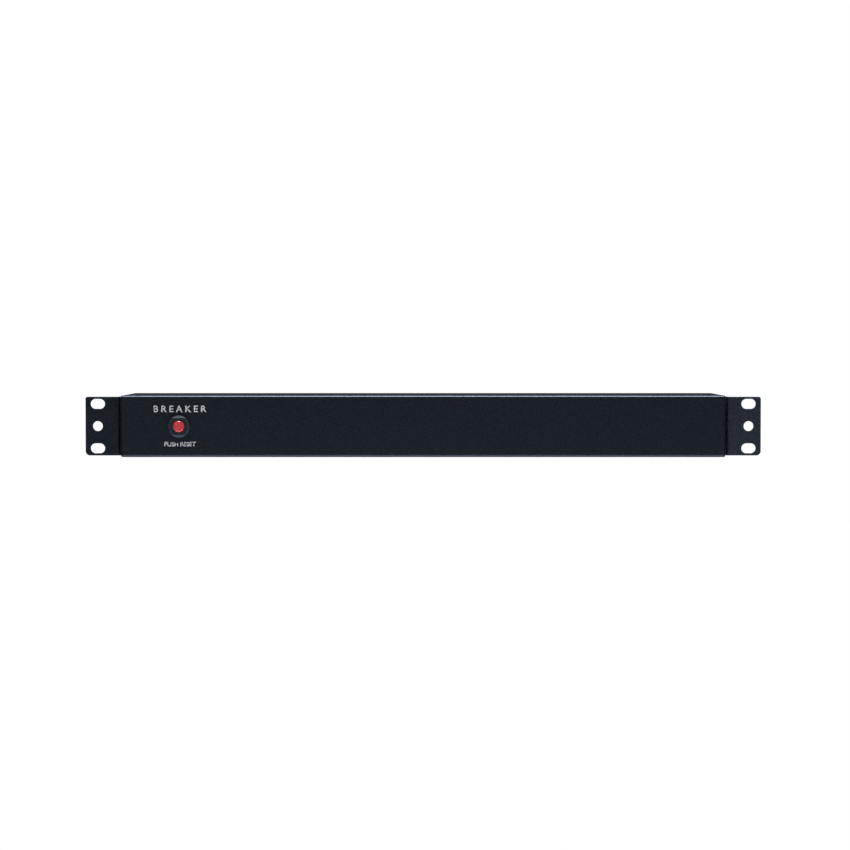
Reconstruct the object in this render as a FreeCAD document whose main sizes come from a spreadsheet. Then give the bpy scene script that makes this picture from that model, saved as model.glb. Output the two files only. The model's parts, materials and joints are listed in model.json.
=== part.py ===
import FreeCAD, Part

import math
import os

import Sketcher
from FreeCAD import Placement, Rotation, Vector

"""A 1U rack power strip: a steel housing between two rack ears, a push-to-reset thermal breaker in
its front, and twelve grounded outlets, their bus bars and a cord gland in its back.

Millimetres. +X runs along the strip, +Y from the front to the back, +Z up. The origin is the centre
of the rack holes, on the plane where the ears meet the rack's rails."""

SMALL = 0.01  # how far a coordinate may be off and still count as the same
WIRE_EASE = 0.45  # share of the shorter run that each bend of a wire uses up

DIMENSIONS = [
    # housing
    ("housing_width", 432.0, "width of the steel housing"),
    ("housing_height", 44.0, "height of the steel housing, under one rack unit"),
    ("housing_depth", 89.0, "depth of the steel housing"),
    ("face_lead", 8.0, "how far the housing's face stands in front of the rack rails"),
    ("gauge", 1.2, "thickness of the housing's sheet steel"),
    ("bend", 2.0, "outside radius of the sheet's bends"),
    ("play", 0.3, "gap between the rear panel and the housing around it"),
    ("flange", 12.0, "depth of the rear panel's two flanges"),
    ("cover_screw_inset", 6.0, "from the housing's back edge to its screws"),
    ("cover_screw_pitch", 155.0, "spacing of the housing's screws"),
    ("cover_screw_size", 3.0, "thread of the housing's screws"),
    ("cover_screw_head", 5.2, "head diameter of the housing's screws"),
    ("cover_screw_length", 6.0, "length of the housing's screws"),
    ("cover_nut", 5.6, "diameter of the clinch nuts for the housing's screws"),
    ("cover_nut_height", 2.0, "height of those nuts"),
    # rack ears
    ("rack_width", 482.6, "width over both ears, 19 inches"),
    ("ear_height", 42.0, "height of an ear"),
    ("ear_gauge", 2.0, "thickness of an ear's steel"),
    ("ear_bend", 2.6, "outside radius of an ear's bend"),
    ("ear_leg", 40.0, "depth of the leg along the housing's side"),
    ("ear_corner_top", 1.6, "radius of an ear's upper outer corner"),
    ("ear_corner_bottom", 3.2, "radius of an ear's lower outer corner"),
    ("rack_hole_across", 465.1, "spacing of the rack holes from side to side"),
    ("rack_hole_up", 31.75, "spacing of the rack slots up the ear"),
    ("rack_hole", 7.1, "width of a rack slot and diameter of the round hole"),
    ("rack_slot", 10.3, "length of a rack slot from end to end"),
    ("ear_screw_start", 12.0, "from the rack plane to an ear's first screw"),
    ("ear_screw_pitch", 18.0, "spacing of an ear's two screws"),
    ("ear_screw_size", 4.0, "thread of the ears' screws"),
    ("ear_screw_head", 7.2, "head diameter of the ears' screws"),
    ("ear_screw_length", 8.0, "length of the ears' screws"),
    ("ear_nut", 7.9, "diameter of the clinch nuts for the ears' screws"),
    ("ear_nut_height", 3.0, "height of those nuts"),
    # outlets
    ("outlet_first", -146.0, "place of the first outlet along the strip"),
    ("outlet_pitch", 31.0, "spacing of the outlets"),
    ("outlet_width", 27.0, "width of an outlet's face"),
    ("outlet_height", 33.0, "height of an outlet's face"),
    ("outlet_rim", 1.6, "thickness of an outlet's rim"),
    ("outlet_pad", 0.6, "height of the raised pad on an outlet's rim"),
    ("outlet_corner", 3.0, "corner radius of an outlet's rim"),
    ("outlet_inset", 2.2, "from an outlet's edge to its raised pad"),
    ("outlet_pad_corner", 4.0, "corner radius of the raised pad"),
    ("outlet_chamfer", 0.5, "chamfer round an outlet's rim"),
    ("slot_chamfer", 0.35, "chamfer round the slots' mouths"),
    ("latch_reach", 0.9, "how far a socket's side latches stand out behind the panel"),
    ("latch_depth", 7.0, "from the panel's face to the front end of a latch"),
    ("latch_height", 6.0, "height of a latch"),
    ("socket_width", 25.4, "width of the socket behind the panel"),
    ("socket_height", 31.4, "height of the socket behind the panel"),
    ("socket_depth", 23.0, "depth of the socket behind the panel's face"),
    ("well", 5.0, "width of a blade contact's well"),
    ("ground_well_width", 7.6, "width of the ground contact's well"),
    ("ground_well_height", 6.4, "height of the ground contact's well"),
    ("well_floor", 2.0, "thickness left at the front of a well"),
    ("blade_gap", 12.7, "spacing of the two blade slots"),
    ("blade_rise", 5.1, "height of the blade slots' middle over the outlet's"),
    ("blade_slot", 2.0, "width of a blade slot"),
    ("line_slot", 6.8, "height of the line slot"),
    ("neutral_slot", 8.4, "height of the neutral slot"),
    ("ground_drop", 11.9, "from the blade slots' middle down to the ground hole's"),
    ("ground_hole", 5.2, "width of the ground hole"),
    ("brass", 0.8, "thickness of the brass strip and of the terminals"),
    ("tab_width", 6.35, "width of a push-on terminal's tab"),
    ("tab_length", 8.5, "length of a bus bar's tab"),
    ("cover_back", 2.3, "thickness of the insulating cover behind the bus bars"),
    ("pilot", 2.3, "hole for a bus cover screw"),
    ("pilot_depth", 8.0, "depth of that hole, and of the holes for the breaker lid's screws"),
    ("pilot_shift", 10.8, "from an outlet's middle to its bus cover screw"),
    # breaker
    ("breaker_x", -174.0, "place of the breaker along the strip"),
    ("case_width", 15.0, "width of the breaker's case"),
    ("case_height", 28.0, "height of the breaker's case"),
    ("case_depth", 28.2, "depth of the breaker's case without its lid"),
    ("case_side", 2.0, "thickness of the case's side walls"),
    ("case_end", 3.5, "thickness of the case's top and bottom walls"),
    ("case_front", 1.5, "thickness of the case's front wall"),
    ("lid", 1.8, "thickness of the case's lid"),
    ("neck", 11.1, "diameter of the case's threaded neck"),
    ("neck_bore", 8.5, "diameter of the neck's bore"),
    ("nut", 15.6, "diameter of the nut on the neck"),
    ("nut_depth", 2.8, "thickness of the nut on the neck"),
    ("button", 8.0, "diameter of the reset button"),
    ("button_proud", 1.4, "how far the set button stands out of the nut"),
    ("button_travel", 3.5, "how far the button jumps out as the breaker trips"),
    ("terminal_height", 6.0, "height of the terminals over and under the breaker's axis"),
    ("contact_place", 12.5, "from the breaker's front to its contacts"),
    ("contact", 3.0, "diameter of a contact"),
    ("blade", 0.5, "thickness of the bimetal blade"),
    ("hinge_place", 25.3, "from the breaker's front to the blade's root"),
    ("spring_rise", 3.0, "height of the spring's axis over the button's"),
    ("spring_radius", 2.3, "mean radius of the spring's coils"),
    ("spring_wire", 0.5, "diameter of the spring's wire"),
    # gland
    ("gland_x", -192.0, "place of the cord gland along the strip"),
    ("gland_flats", 22.0, "width across the flats of the gland's hexagons"),
    ("gland_thread", 15.8, "diameter of the gland's thread in the panel"),
    ("gland_hexagon", 4.0, "thickness of the gland body's hexagon"),
    ("gland_root", 8.0, "length of the gland's thread in the panel"),
    ("cap_thread", 16.8, "diameter of the thread that takes the gland's cap"),
    ("cap_thread_length", 8.0, "length of that thread"),
    ("gland_bore", 12.0, "bore of the gland's body"),
    ("seal_seat", 14.0, "bore of the seat for the gland's seal"),
    ("seal_seat_depth", 9.0, "depth of that seat"),
    ("locknut_height", 4.0, "thickness of the gland's locknut"),
    ("cord_hole", 9.5, "bore of the gland's seal"),
    # earth stud and wires
    ("stud_x", -197.0, "place of the earth stud along the strip"),
    ("stud_y", 20.0, "place of the earth stud behind the rack plane"),
    ("stud", 4.0, "thread of the earth stud"),
    ("wire", 3.2, "diameter of an insulated wire"),
]

OUTLETS = 12
SPRING_TURNS = 6
BUS_COVER_SCREW_OUTLETS = (0, 2, 4, 7, 9, 11)  # outlets whose pilot hole takes a screw
COVER_SCREWS = 3  # on top, and as many underneath


class Term:
    """A number together with the spreadsheet expression that it comes from."""

    def __init__(self, value, text):
        self.value = value
        self.text = text

    def __add__(self, other):
        other = term(other)
        return Term(self.value + other.value, f"({self.text} + {other.text})")

    def __sub__(self, other):
        other = term(other)
        return Term(self.value - other.value, f"({self.text} - {other.text})")

    def __mul__(self, other):
        other = term(other)
        return Term(self.value * other.value, f"({self.text} * {other.text})")

    def __truediv__(self, other):
        other = term(other)
        return Term(self.value / other.value, f"({self.text} / {other.text})")

    def __radd__(self, other):
        return term(other) + self

    def __rsub__(self, other):
        return term(other) - self

    def __rmul__(self, other):
        return term(other) * self

    def __neg__(self):
        return Term(-self.value, f"(-{self.text})")


def term(number):
    """A Term as it is, and a plain number as a Term."""
    return number if isinstance(number, Term) else Term(float(number), f"({float(number)})")


class Dimensions:
    """The spreadsheet of driving dimensions: each alias is an attribute that gives its Term."""

    def __init__(self, document, rows):
        self.sheet = document.addObject("Spreadsheet::Sheet", "dims")
        for number, (alias, value, meaning) in enumerate(rows, start=1):
            self.sheet.set(f"A{number}", meaning)
            self.sheet.set(f"B{number}", str(value))
            self.sheet.setAlias(f"B{number}", alias)
            setattr(self, alias, Term(value, f"dims.{alias}"))


doc = FreeCAD.newDocument("rack_power_strip")
d = Dimensions(doc, DIMENSIONS)
doc.recompute()

# places that several pieces share
front_y = -d.face_lead
inner_front_y = front_y + d.gauge
back_y = front_y + d.housing_depth
side_x = d.housing_width / 2
top_z = d.housing_height / 2
inner_floor_z = d.gauge - top_z
cover_screw_y = back_y - d.cover_screw_inset
cover_screw_x = d.outlet_first + d.outlet_pitch * 4.5 - d.cover_screw_pitch
socket_back_y = back_y - d.socket_depth
ground_rise = d.blade_rise - d.ground_drop
contact_low = d.brass / 2 - d.terminal_height
blade_low = contact_low + d.brass * 2
seat_place = d.contact_place + 5.5


# --- the helpers that the pieces are made with ---

PLANES = {"X": ("YZ_Plane", 1), "Y": ("XZ_Plane", -1), "Z": ("XY_Plane", 1)}
sketch_side = {}  # each sketch's name, and the sign of its normal along the axis it is across


def bind(thing, path, number):
    """Binds one property of thing to the spreadsheet."""
    thing.setExpression(path, term(number).text)


def origin_feature(body, role):
    return next(f for f in body.Origin.OriginFeatures if f.Role == role)


def new_body(label, x=0, y=0, z=0, turn=Rotation()):
    """An empty body whose own origin stands at x, y, z, turned by turn."""
    body = doc.addObject("PartDesign::Body", label)
    body.Label = label
    body.Placement = Placement(Vector(), turn)
    for path, number in (("x", x), ("y", y), ("z", z)):
        bind(body, f"Placement.Base.{path}", number)
    return body


def sketch_across(body, axis, at=0, shift=0):
    """A sketch on the plane across axis, at that distance along it, its own origin moved sideways
    by shift. Across X it draws in Y and Z, across Y in X and Z, and across Z in X and Y."""
    role, side = PLANES[axis]
    sketch = body.newObject("Sketcher::SketchObject", "Sketch")
    sketch.AttachmentSupport = [(origin_feature(body, role), "")]
    sketch.MapMode = "FlatFace"
    bind(sketch, "AttachmentOffset.Base.z", side * term(at))
    bind(sketch, "AttachmentOffset.Base.x", shift)
    sketch_side[sketch.Name] = side
    return sketch


def place_point(sketch, geometry, end, x, y):
    """Holds one point of a sketch's geometry at x and y."""
    for kind, number in (("DistanceX", x), ("DistanceY", y)):
        rule = Sketcher.Constraint(kind, -1, 1, geometry, end, term(number).value)
        bind(sketch, f"Constraints[{sketch.addConstraint(rule)}]", number)


def polygon(sketch, points):
    """A closed outline of straight lines through points."""
    points = [(term(x), term(y)) for x, y in points]
    corners = [Vector(x.value, y.value, 0) for x, y in points]
    ids = [
        sketch.addGeometry(Part.LineSegment(corners[i - 1], corners[i]), False)
        for i in range(len(corners))
    ]
    for i, line in enumerate(ids):
        sketch.addConstraint(Sketcher.Constraint("Coincident", ids[i - 1], 2, line, 1))
        place_point(sketch, line, 2, *points[i])


def rectangle(sketch, x0, x1, y0, y1):
    polygon(sketch, [(x0, y0), (x1, y0), (x1, y1), (x0, y1)])


def circle(sketch, x, y, diameter):
    x, y, diameter = term(x), term(y), term(diameter)
    ring = Part.Circle(Vector(x.value, y.value, 0), Vector(0, 0, 1), diameter.value / 2)
    number = sketch.addGeometry(ring, False)
    place_point(sketch, number, 3, x, y)
    rule = sketch.addConstraint(Sketcher.Constraint("Diameter", number, diameter.value))
    bind(sketch, f"Constraints[{rule}]", diameter)


def rounded(sketch, x, y, arcs, radius):
    """A closed outline of two equal arcs joined by tangent lines. arcs holds, for each arc, its
    centre's x and y off the outline's own centre, and the angle in degrees where it starts."""
    ids = []
    for dx, dy, start in arcs:
        centre = Vector((x + dx).value, (y + dy).value, 0)
        ring = Part.Circle(centre, Vector(0, 0, 1), radius.value)
        a0 = math.radians(start)
        arc = sketch.addGeometry(Part.ArcOfCircle(ring, a0, a0 + math.pi), False)
        place_point(sketch, arc, 3, x + dx, y + dy)
        rule = sketch.addConstraint(Sketcher.Constraint("Radius", arc, radius.value))
        bind(sketch, f"Constraints[{rule}]", radius)
        ids.append(arc)
    for first, second in (ids, ids[::-1]):
        ends = (sketch.getPoint(first, 2), sketch.getPoint(second, 1))
        line = sketch.addGeometry(Part.LineSegment(*ends), False)
        sketch.addConstraint(Sketcher.Constraint("Tangent", first, 2, line, 1))
        sketch.addConstraint(Sketcher.Constraint("Tangent", line, 2, second, 1))


def slot(sketch, x, y, length, width):
    """A slot along the sketch's x with round ends."""
    reach = (term(length) - width) / 2
    arcs = [(-reach, term(0), 90), (reach, term(0), 270)]
    rounded(sketch, term(x), term(y), arcs, term(width) / 2)


def arch(sketch, x, y, width, top):
    """A ground hole: round below, and flat across at top over its centre."""
    x, y, half, top = term(x), term(y), term(width) / 2, term(top)
    ring = Part.Circle(Vector(x.value, y.value, 0), Vector(0, 0, 1), half.value)
    arc = sketch.addGeometry(Part.ArcOfCircle(ring, math.pi, 2 * math.pi), False)
    place_point(sketch, arc, 3, x, y)
    place_point(sketch, arc, 1, x - half, y)
    sketch.addConstraint(Sketcher.Constraint("Horizontal", arc, 1, arc, 2))
    corners = [(x + half, y), (x + half, y + top), (x - half, y + top), (x - half, y)]
    lines = []
    for (x0, y0), (x1, y1) in zip(corners, corners[1:]):
        ends = Vector(x0.value, y0.value, 0), Vector(x1.value, y1.value, 0)
        lines.append(sketch.addGeometry(Part.LineSegment(*ends), False))
    for first, second in ((arc, lines[0]), *zip(lines, lines[1:]), (lines[-1], arc)):
        sketch.addConstraint(Sketcher.Constraint("Coincident", first, 2, second, 1))
    for line, (px, py) in zip(lines[:2], corners[1:3]):
        place_point(sketch, line, 2, px, py)


def hexagon(sketch, across_flats):
    """A hexagon about the sketch's origin with two of its flats level."""
    radius = term(across_flats) / math.sqrt(3)
    turns = [math.radians(60 * i) for i in range(6)]
    polygon(sketch, [(radius * math.cos(a), radius * math.sin(a)) for a in turns])


def add_feature(body, kind, profile):
    feature = body.newObject(f"PartDesign::{kind}", kind)
    feature.Profile = profile
    profile.Visibility = False
    return feature


def pad(sketch, length, towards=1):
    """Adds material from sketch, towards +1 or -1 along the axis that it is across."""
    feature = add_feature(sketch.getParentGeoFeatureGroup(), "Pad", sketch)
    bind(feature, "Length", length)
    feature.Reversed = towards * sketch_side[sketch.Name] < 0
    return feature


def cut_with(body, kind, sketch):
    """Starts a cutting feature, and gives it with the volume before it."""
    doc.recompute()
    before = body.Shape.Volume
    return add_feature(body, kind, sketch), before


def check_cut(body, before):
    doc.recompute()
    if not body.Shape.Volume < before - SMALL:
        raise RuntimeError(f"a cut in {body.Label} removed nothing")


def pocket(sketch, depth, towards=1):
    """Cuts material away from sketch, towards +1 or -1 along the axis that it is across."""
    body = sketch.getParentGeoFeatureGroup()
    feature, before = cut_with(body, "Pocket", sketch)
    bind(feature, "Length", depth)
    feature.Reversed = towards * sketch_side[sketch.Name] > 0
    check_cut(body, before)
    return feature


def turned(sketch, axis):
    """Adds a round piece: sketch turned about its own axis, "H_Axis" or "V_Axis"."""
    feature = add_feature(sketch.getParentGeoFeatureGroup(), "Revolution", sketch)
    feature.ReferenceAxis = (sketch, [axis])
    feature.Angle = 360
    return feature


def groove(sketch, axis):
    """Cuts a round recess: sketch turned about its own axis."""
    body = sketch.getParentGeoFeatureGroup()
    feature, before = cut_with(body, "Groove", sketch)
    feature.ReferenceAxis = (sketch, [axis])
    feature.Angle = 360
    check_cut(body, before)
    return feature


def repeat_along(features, role, span, count):
    """Repeats features count times over span along the body's own axis."""
    body = features[0].getParentGeoFeatureGroup()
    doc.recompute()
    pattern = body.newObject("PartDesign::LinearPattern", "LinearPattern")
    pattern.Originals = features
    pattern.Direction = (origin_feature(body, role), [""])
    bind(pattern, "Length", span)
    pattern.Occurrences = count
    body.Tip = pattern
    return pattern


def repeat_round(features, role, count):
    """Repeats features count times round the body's own axis."""
    body = features[0].getParentGeoFeatureGroup()
    doc.recompute()
    pattern = body.newObject("PartDesign::PolarPattern", "PolarPattern")
    pattern.Originals = features
    pattern.Axis = (origin_feature(body, role), [""])
    pattern.Angle = 360
    pattern.Occurrences = count
    body.Tip = pattern
    return pattern


def lies_at(edge, **where):
    """True if the whole edge has the coordinates given, such as y=81."""
    box = edge.BoundBox
    return all(
        abs(getattr(box, name.upper() + end) - term(number).value) < SMALL
        for name, number in where.items()
        for end in ("Min", "Max")
    )


def lines_along(edge, axis):
    """True if edge is straight and runs along axis."""
    lengths = {a: getattr(edge.BoundBox, a + "Length") for a in "XYZ"}
    return lengths.pop(axis) > SMALL and all(v < SMALL for v in lengths.values())


def dress(body, kind, size, wanted):
    """A Fillet or Chamfer of that size on each edge that wanted says yes to."""
    doc.recompute()
    base = body.Tip
    names = [f"Edge{i}" for i, edge in enumerate(base.Shape.Edges, start=1) if wanted(edge)]
    if not names:
        raise RuntimeError(f"a {kind} on {body.Label} found no edge")
    feature = body.newObject(f"PartDesign::{kind}", kind)
    feature.Base = (base, names)
    bind(feature, "Radius" if kind == "Fillet" else "Size", size)
    return feature


def group(label, bodies):
    """Several separate solids of one kind as one node."""
    joined = doc.addObject("Part::Compound", label)
    joined.Label = label
    joined.Links = bodies
    return joined


def countersunk_screw(label, thread, head, length, recess):
    """A cross-head screw along its own -Z, with its flat head's top at its origin."""
    body = new_body(label)
    radius, head_radius = thread / 2 - 0.06, head / 2
    sketch = sketch_across(body, "Y")
    outline = [
        (0, 0),
        (head_radius, 0),
        (radius, radius - head_radius),
        (radius, 0.4 - length),
        (radius - 0.4, -length),
        (0, -length),
    ]
    polygon(sketch, outline)
    turned(sketch, "V_Axis")
    cross_recess(body, 0, recess)
    return body


def pan_screw(label, thread, head, head_height, length, recess):
    """A cross-head screw along its own -Z, with the underside of its round head at its origin."""
    body = new_body(label)
    radius, head_radius = term(thread) / 2, term(head) / 2
    sketch = sketch_across(body, "Y")
    outline = [
        (0, head_height),
        (head_radius - 0.5, head_height),
        (head_radius, head_height - 0.5),
        (head_radius, 0),
        (radius, 0),
        (radius, 0.4 - length),
        (radius - 0.4, -length),
        (0, -length),
    ]
    polygon(sketch, outline)
    turned(sketch, "V_Axis")
    cross_recess(body, head_height, recess)
    return body


def cross_recess(body, top, reach):
    """Sinks a screwdriver's cross into a screw's head at top; reach is half an arm's length."""
    half = reach * 0.24
    depth = reach * 0.62
    corners = [(reach, half), (half, half), (half, reach)]
    outline = []
    for x_sign, y_sign, order in ((1, 1, 1), (-1, 1, -1), (-1, -1, 1), (1, -1, -1)):
        outline += [(x * x_sign, y * y_sign) for x, y in corners[::order]]
    sketch = sketch_across(body, "Z", top)
    polygon(sketch, outline)
    pocket(sketch, depth, -1)


def placed(body, x, y, z, turn=Rotation()):
    """Moves a finished body to x, y, z and turns it."""
    body.Placement = Placement(Vector(), turn)
    for path, number in (("x", x), ("y", y), ("z", z)):
        bind(body, f"Placement.Base.{path}", number)
    return body


def plain(label, shape, placement):
    """A piece whose shape comes from Part's own functions."""
    feature = doc.addObject("Part::Feature", label)
    feature.Label = label
    feature.Shape = shape
    feature.Placement = placement
    return feature


POINTING_UP = Rotation()
POINTING_DOWN = Rotation(Vector(1, 0, 0), 180)
POINTING_LEFT = Rotation(Vector(0, 1, 0), -90)
POINTING_RIGHT = Rotation(Vector(0, 1, 0), 90)
POINTING_FRONT = Rotation(Vector(1, 0, 0), 90)
POINTING_BACK = Rotation(Vector(1, 0, 0), -90)
FLAT_TO_LEFT = Rotation(Vector(0, 1, 0), Vector(0, 0, -1), Vector(-1, 0, 0), "ZXY")


# --- housing ---


def inner_edge(edge, inner_x, inner_z):
    """True for the edges inside the housing where two of its walls meet."""
    wall = abs(edge.BoundBox.XMax) < inner_x.value + SMALL
    wall = wall and abs(edge.BoundBox.ZMax) < inner_z.value + SMALL
    across = lies_at(edge, y=inner_front_y)
    return wall and (across or lines_along(edge, "Y"))


def front_housing():
    """The folded steel tray that makes the face, top, bottom and both ends, open at the back."""
    body = new_body("front_housing")
    outline = sketch_across(body, "Y", front_y)
    rectangle(outline, -side_x, side_x, -top_z, top_z)
    pad(outline, d.housing_depth)
    dress(
        body,
        "Fillet",
        d.bend,
        lambda edge: lies_at(edge, y=front_y) or lines_along(edge, "Y"),
    )
    inside = sketch_across(body, "Y", back_y)
    inner_x, inner_z = side_x - d.gauge, top_z - d.gauge
    rectangle(inside, -inner_x, inner_x, -inner_z, inner_z)
    pocket(inside, d.housing_depth - d.gauge, -1)
    dress(
        body,
        "Fillet",
        d.bend - d.gauge,
        lambda edge: inner_edge(edge, inner_x, inner_z),
    )
    breaker_hole = sketch_across(body, "Y", front_y)
    circle(breaker_hole, d.breaker_x, 0, d.neck + 0.4)
    pocket(breaker_hole, d.gauge * 2)
    countersinks = sketch_across(body, "Y", cover_screw_y, cover_screw_x)
    rim, hole = d.cover_screw_head / 2 + 0.1, d.cover_screw_size / 2 + 0.1
    foot = top_z - d.gauge - 0.2
    outline = [(0, top_z), (rim, top_z), (hole, top_z - rim + hole), (hole, foot), (0, foot)]
    polygon(countersinks, outline)
    polygon(countersinks, [(x, -z) for x, z in outline])
    sunk = groove(countersinks, "V_Axis")
    repeat_along([sunk], "X_Axis", d.cover_screw_pitch * (COVER_SCREWS - 1), COVER_SCREWS)
    ear_holes = sketch_across(body, "X", -side_x - 1)
    for number in range(2):
        y = d.ear_screw_start + d.ear_screw_pitch * number
        circle(ear_holes, y, 0, d.ear_screw_size + 0.4)
    pocket(ear_holes, d.housing_width + 2)
    return body


def rear_panel():
    """The folded steel panel that closes the back and holds the outlets and the gland."""
    body = new_body("rear_panel")
    half_height = top_z - d.gauge - d.play
    half_width = side_x - d.gauge - d.play
    outline = sketch_across(body, "X", -half_width)
    front, inner = back_y - d.flange, back_y - d.gauge
    lip = half_height - d.gauge
    polygon(
        outline,
        [
            (front, -half_height),
            (back_y, -half_height),
            (back_y, half_height),
            (front, half_height),
            (front, lip),
            (inner, lip),
            (inner, -lip),
            (front, -lip),
        ],
    )
    pad(outline, half_width * 2)
    dress(
        body,
        "Fillet",
        d.bend,
        lambda edge: lies_at(edge, y=back_y) and lines_along(edge, "X"),
    )
    dress(
        body,
        "Fillet",
        d.bend - d.gauge,
        lambda edge: lies_at(edge, y=inner) and lines_along(edge, "X"),
    )
    window = sketch_across(body, "Y", back_y)
    half_window_x = d.socket_width / 2 + 0.2
    half_window_z = d.socket_height / 2 + 0.2
    rectangle(
        window,
        d.outlet_first - half_window_x,
        d.outlet_first + half_window_x,
        -half_window_z,
        half_window_z,
    )
    repeat_along(
        [pocket(window, d.gauge * 1.5, -1)],
        "X_Axis",
        d.outlet_pitch * (OUTLETS - 1),
        OUTLETS,
    )
    gland_hole = sketch_across(body, "Y", back_y)
    circle(gland_hole, d.gland_x, 0, d.gland_thread + 0.4)
    pocket(gland_hole, d.gauge * 1.5, -1)
    screw_holes = sketch_across(body, "Z", -top_z)
    for number in range(COVER_SCREWS):
        x = cover_screw_x + d.cover_screw_pitch * number
        circle(screw_holes, x, cover_screw_y, d.cover_screw_size + 0.3)
    pocket(screw_holes, d.housing_height)
    return body


def cover_screws(label, top):
    """The screws through the housing into the rear panel's flange, on top or underneath."""
    bodies = []
    for number in range(COVER_SCREWS):
        screw = countersunk_screw(
            f"{label}_{number + 1}",
            d.cover_screw_size,
            d.cover_screw_head,
            d.cover_screw_length,
            1.5,
        )
        x = cover_screw_x + d.cover_screw_pitch * number
        z = top_z - 0.06 if top else 0.06 - top_z
        bodies.append(placed(screw, x, cover_screw_y, z, POINTING_UP if top else POINTING_DOWN))
    return group(label, bodies)


def round_nut(label, outer, bore, height):
    """A self-clinching round nut standing on its own origin along +Z."""
    body = new_body(label)
    sketch = sketch_across(body, "Y")
    inner = bore / 2 + 0.05
    polygon(
        sketch,
        [
            (inner, 0),
            (outer / 2, 0),
            (outer / 2, height - 0.3),
            (outer / 2 - 0.3, height),
            (inner + 0.3, height),
            (inner, height - 0.3),
        ],
    )
    turned(sketch, "V_Axis")
    return body


def cover_clinch_nuts():
    """The nuts pressed into the rear panel's flanges."""
    seat = top_z - d.gauge * 2 - d.play
    bodies = []
    for number in range(COVER_SCREWS):
        x = cover_screw_x + d.cover_screw_pitch * number
        for side, turn in ((1, POINTING_DOWN), (-1, POINTING_UP)):
            label = f"cover_clinch_nut_{number + 1}_{'top' if side > 0 else 'bottom'}"
            nut = round_nut(label, d.cover_nut, d.cover_screw_size, d.cover_nut_height)
            bodies.append(placed(nut, x, cover_screw_y, seat * side, turn))
    return group("cover_clinch_nuts", bodies)


# --- rack ears ---


def rack_ear(label, side):
    """One bent steel ear: side is 1 for the right end of the strip and -1 for the left."""
    body = new_body(label)
    outer_x, half = d.rack_width / 2, d.ear_height / 2
    outline = sketch_across(body, "Z", -half)
    leg_x = side_x + d.ear_gauge
    polygon(
        outline,
        [
            (side_x * side, -d.ear_gauge),
            (outer_x * side, -d.ear_gauge),
            (outer_x * side, 0),
            (leg_x * side, 0),
            (leg_x * side, d.ear_leg),
            (side_x * side, d.ear_leg),
        ],
    )
    pad(outline, d.ear_height)
    for x, y, radius in ((side_x, -d.ear_gauge, d.ear_bend), (leg_x, 0, d.ear_bend - d.ear_gauge)):
        dress(body, "Fillet", radius, lambda edge: lies_at(edge, x=x * side, y=y))
    for z, radius in ((half, d.ear_corner_top), (-half, d.ear_corner_bottom)):
        dress(body, "Fillet", radius, lambda edge: lies_at(edge, x=outer_x * side, z=z))
    dress(
        body,
        "Fillet",
        d.ear_corner_bottom,
        lambda edge: lies_at(edge, y=d.ear_leg) and lines_along(edge, "X"),
    )
    holes = sketch_across(body, "Y", 0)
    hole_x = d.rack_hole_across / 2 * side
    slot(holes, hole_x, d.rack_hole_up / 2, d.rack_slot, d.rack_hole)
    slot(holes, hole_x, -d.rack_hole_up / 2, d.rack_slot, d.rack_hole)
    circle(holes, hole_x, 0, d.rack_hole)
    pocket(holes, d.ear_gauge * 2, -1)
    countersink = sketch_across(body, "Z", 0)
    countersink.setExpression("AttachmentOffset.Base.y", d.ear_screw_start.text)
    rim, hole = d.ear_screw_head / 2 + 0.1, d.ear_screw_size / 2 + 0.2
    deep = leg_x - (rim - hole)
    root = side_x - 0.5
    polygon(
        countersink,
        [
            (leg_x * side, 0),
            (leg_x * side, rim),
            (deep * side, hole),
            (root * side, hole),
            (root * side, 0),
        ],
    )
    repeat_along([groove(countersink, "H_Axis")], "Y_Axis", d.ear_screw_pitch, 2)
    return body


def ear_fasteners(name, side):
    """The two screws that hold one ear, and the clinch nuts behind them in the housing's wall."""
    screws, nuts = [], []
    for number in range(2):
        y = d.ear_screw_start + d.ear_screw_pitch * number
        screw = countersunk_screw(
            f"{name}_ear_screw_{number + 1}",
            d.ear_screw_size,
            d.ear_screw_head,
            d.ear_screw_length,
            2.1,
        )
        outward = POINTING_RIGHT if side > 0 else POINTING_LEFT
        inward = POINTING_LEFT if side > 0 else POINTING_RIGHT
        head_x = (side_x + d.ear_gauge - 0.06) * side
        screws.append(placed(screw, head_x, y, 0, outward))
        label = f"{name}_clinch_nut_{number + 1}"
        nut = round_nut(label, d.ear_nut, d.ear_screw_size, d.ear_nut_height)
        nuts.append(placed(nut, (side_x - d.gauge) * side, y, 0, inward))
    return group(f"{name}_ear_screws", screws), group(f"{name}_clinch_nuts", nuts)


# --- outlets and bus bars ---


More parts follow.
